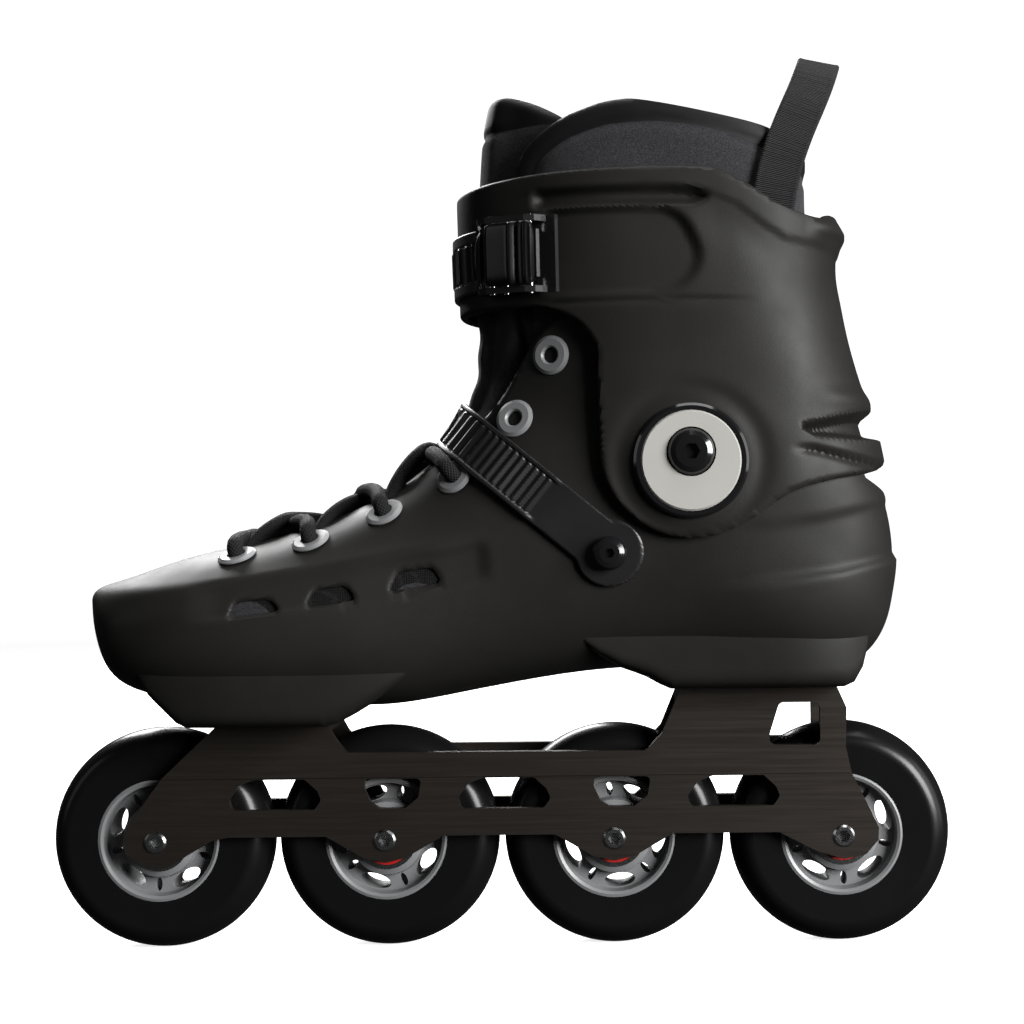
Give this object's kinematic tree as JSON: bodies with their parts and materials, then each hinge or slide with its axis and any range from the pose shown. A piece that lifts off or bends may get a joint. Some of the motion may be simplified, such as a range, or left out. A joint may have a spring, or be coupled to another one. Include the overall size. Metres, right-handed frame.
{
  "type": "inline skate",
  "caption": "Black recreational inline skate: hard vented boot, hinged cuff with ratchet buckle, laces, soft liner, pull loop and a metal frame with a row of black wheels.",
  "frame": {"origin": "on the ground, midway between the first and last axle, in the wheels' middle plane", "axes": "toe towards -X, heel towards +X, outer side of the foot (cuff buckle) towards -Y, leg towards +Z"},
  "size_m": [0.326, 0.1136, 0.3206],
  "materials": {
    "anodised_aluminium": "satin",
    "steel": "polished",
    "black_steel": "gloss",
    "shell_plastic": "satin",
    "strap_plastic": "satin",
    "lever_plastic": "gloss",
    "grey_plastic": "satin",
    "urethane": "semi_gloss",
    "red_shield": "satin",
    "liner_foam": "matte",
    "mesh_fabric": "matte",
    "lace_cord": "matte",
    "webbing": "matte"
  },
  "bodies": {
    "boot_and_frame": {"frame": "anodised_aluminium", "wheel_axles": "steel", "bearing_inner_races": "steel", "bearing_spacers": "steel", "mount_bolts": "black_steel", "boot_shell": "shell_plastic", "vent_mesh": "mesh_fabric", "lace_eyelets": "grey_plastic", "liner_boot": "liner_foam", "footbed": "liner_foam", "tongue": "liner_foam", "lace": "lace_cord", "pivot_screws": "black_steel", "strap_screws": "black_steel", "instep_ladder_strap": "strap_plastic", "instep_buckle_base": "strap_plastic", "instep_buckle_pins": "steel"},
    "cuff": {"cuff": "shell_plastic", "pivot_rings": "shell_plastic", "pivot_discs": "grey_plastic", "liner_collar": "liner_foam", "cuff_ladder_strap": "strap_plastic", "cuff_buckle_base": "strap_plastic", "cuff_buckle_pins": "steel", "pull_loop": "webbing"},
    "wheel_1": {"tyre_1": "urethane", "wheel_core_1": "grey_plastic", "outer_races_1": "steel", "bearing_shields_1": "red_shield", "bearing_balls_1": "steel"},
    "wheel_2": {"tyre_2": "urethane", "wheel_core_2": "grey_plastic", "outer_races_2": "steel", "bearing_shields_2": "red_shield", "bearing_balls_2": "steel"},
    "wheel_3": {"tyre_3": "urethane", "wheel_core_3": "grey_plastic", "outer_races_3": "steel", "bearing_shields_3": "red_shield", "bearing_balls_3": "steel"},
    "wheel_4": {"tyre_4": "urethane", "wheel_core_4": "grey_plastic", "outer_races_4": "steel", "bearing_shields_4": "red_shield", "bearing_balls_4": "steel"},
    "cuff_buckle_lever": {"cuff_buckle_lever": "lever_plastic"},
    "cuff_buckle_pawl": {"cuff_buckle_pawl": "steel"},
    "instep_buckle_lever": {"instep_buckle_lever": "lever_plastic"},
    "instep_buckle_pawl": {"instep_buckle_pawl": "steel"}
  },
  "joints": [
    {"name": "wheel_1_spin", "type": "hinge", "parent": "boot_and_frame", "child": "wheel_1", "pos_m": [-0.123, 0, 0.04], "axis": [0, 1, 0], "continuous": true},
    {"name": "wheel_2_spin", "type": "hinge", "parent": "boot_and_frame", "child": "wheel_2", "pos_m": [-0.041, 0, 0.04], "axis": [0, 1, 0], "continuous": true},
    {"name": "wheel_3_spin", "type": "hinge", "parent": "boot_and_frame", "child": "wheel_3", "pos_m": [0.041, 0, 0.04], "axis": [0, 1, 0], "continuous": true},
    {"name": "wheel_4_spin", "type": "hinge", "parent": "boot_and_frame", "child": "wheel_4", "pos_m": [0.123, 0, 0.04], "axis": [0, 1, 0], "continuous": true},
    {"name": "cuff_flex", "type": "hinge", "parent": "boot_and_frame", "child": "cuff", "pos_m": [0.0686, 0, 0.176], "axis": [0, -1, 0], "range_deg": [-3, 10], "stiffness_Nm_per_rad": 12},
    {"name": "cuff_lever_lift", "type": "hinge", "parent": "cuff", "child": "cuff_buckle_lever", "pos_m": [0.00132, -0.04179, 0.24411], "axis": [0.0109, 0.0546, -0.9985], "range_deg": [0, 95]},
    {"name": "cuff_pawl_lift", "type": "hinge", "parent": "cuff", "child": "cuff_buckle_pawl", "pos_m": [0.01488, -0.04822, 0.24391], "axis": [0.0109, 0.0546, -0.9985], "range_deg": [0, 5], "stiffness_Nm_per_rad": 0.05},
    {"name": "instep_lever_lift", "type": "hinge", "parent": "boot_and_frame", "child": "instep_buckle_lever", "pos_m": [0.00811, 0.04834, 0.16901], "axis": [0.6338, -0.0342, 0.7727], "range_deg": [0, 95]},
    {"name": "instep_pawl_lift", "type": "hinge", "parent": "boot_and_frame", "child": "instep_buckle_pawl", "pos_m": [0.0197, 0.04946, 0.15955], "axis": [0.6338, -0.0342, 0.7727], "range_deg": [0, 5], "stiffness_Nm_per_rad": 0.05}
  ]
}
